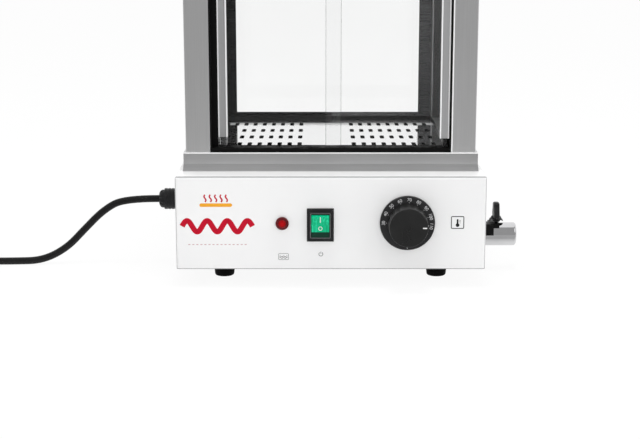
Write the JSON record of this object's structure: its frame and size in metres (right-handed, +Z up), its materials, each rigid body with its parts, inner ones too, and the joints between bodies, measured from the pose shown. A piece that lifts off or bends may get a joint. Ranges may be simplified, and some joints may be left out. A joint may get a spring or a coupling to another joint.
{
  "type": "hot dog steamer",
  "caption": "Counter-top food steamer: square glazed cabinet with sliding doors over a heated water base with a rocker switch, thermostat dial, lamp and drain valve.",
  "frame": {"origin": "on the bench under the centre of the appliance, cord aside", "axes": "+X to the user's right, +Y away from the user, +Z up"},
  "size_m": [0.8053, 0.4226, 0.5302],
  "materials": {
    "white_panel": "satin",
    "satin_steel": "satin",
    "bright_steel": "satin",
    "inner_steel": "satin",
    "heater_steel": "satin",
    "zinc_steel": "satin",
    "polished_steel": "polished",
    "brass": "satin",
    "anodised_aluminium": "satin",
    "black_plastic": "satin",
    "black_gloss": "gloss",
    "black_rubber": "matt",
    "silicone": "satin",
    "red_lens": "gloss",
    "green_rocker": "gloss",
    "white_plastic": "satin",
    "clear_glass": "clear"
  },
  "bodies": {
    "cabinet": {"base_casing": "white_panel", "base_plate": "inner_steel", "foot_screws": "zinc_steel", "base_plate_screws": "zinc_steel", "water_tank": "inner_steel", "heating_element": "heater_steel", "element_nuts": "brass", "sensor_bulb": "bright_steel", "dry_boil_cutout": "black_plastic", "lamp_body": "black_plastic", "lamp_lens": "red_lens", "rocker_housing": "black_plastic", "dial_ring": "black_gloss", "thermostat_body": "white_plastic", "valve_body": "polished_steel", "valve_stop": "black_plastic", "valve_locknut": "brass", "drain_hose": "silicone", "lower_collar": "satin_steel", "roof": "satin_steel", "roof_screws": "zinc_steel", "lower_door_track": "black_plastic", "upper_door_track": "black_plastic", "left_door_jamb": "black_plastic", "right_door_jamb": "black_plastic", "rear_frame": "satin_steel", "rear_glass": "clear_glass", "rear_clips": "zinc_steel", "left_side_glass": "clear_glass", "right_side_glass": "clear_glass", "side_channels": "satin_steel", "cable_gland": "black_plastic", "gland_locknut": "black_plastic", "terminal_block": "white_plastic", "supply_lead": "black_rubber", "mains_lead": "black_rubber", "cord_coil": "black_rubber", "cord_tail": "black_rubber", "coil_tie": "black_plastic", "mains_plug": "black_rubber", "plug_pins": "polished_steel", "foot_front_left": "black_rubber", "post_front_left": "satin_steel", "foot_front_right": "black_rubber", "post_front_right": "satin_steel", "foot_rear_left": "black_rubber", "post_rear_left": "satin_steel", "foot_rear_right": "black_rubber", "post_rear_right": "satin_steel"},
    "left_door": {"left_door_glass": "clear_glass", "left_door_pull": "anodised_aluminium"},
    "right_door": {"right_door_glass": "clear_glass", "right_door_pull": "anodised_aluminium"},
    "knob": {"control_knob": "black_gloss", "thermostat_shaft": "zinc_steel"},
    "rocker": {"rocker_button": "green_rocker"},
    "valve_handle": {"drain_lever": "black_plastic", "valve_stem": "polished_steel", "valve_ball": "polished_steel"},
    "tray": {"perforated_tray": "bright_steel"}
  },
  "joints": [
    {"name": "left_door_slide", "type": "slide", "parent": "cabinet", "child": "left_door", "axis": [1, 0, 0], "range_m": [0, 0.12]},
    {"name": "right_door_slide", "type": "slide", "parent": "cabinet", "child": "right_door", "axis": [-1, 0, 0], "range_m": [0, 0.133]},
    {"name": "thermostat_turn", "type": "hinge", "parent": "cabinet", "child": "knob", "pos_m": [0.0655, -0.18075, 0.0774], "axis": [0, -1, 0], "range_deg": [-14, 270]},
    {"name": "rocker_press", "type": "hinge", "parent": "cabinet", "child": "rocker", "pos_m": [-0.0357, -0.18325, 0.0748], "axis": [-1, 0, 0], "range_deg": [0, 20]},
    {"name": "drain_turn", "type": "hinge", "parent": "cabinet", "child": "valve_handle", "pos_m": [0.18, -0.08875, 0.0604], "axis": [0, 0, 1], "range_deg": [0, 90]},
    {"name": "tray_lift", "type": "slide", "parent": "cabinet", "child": "tray", "axis": [0, 0, 1], "range_m": [0, 0.08]}
  ]
}
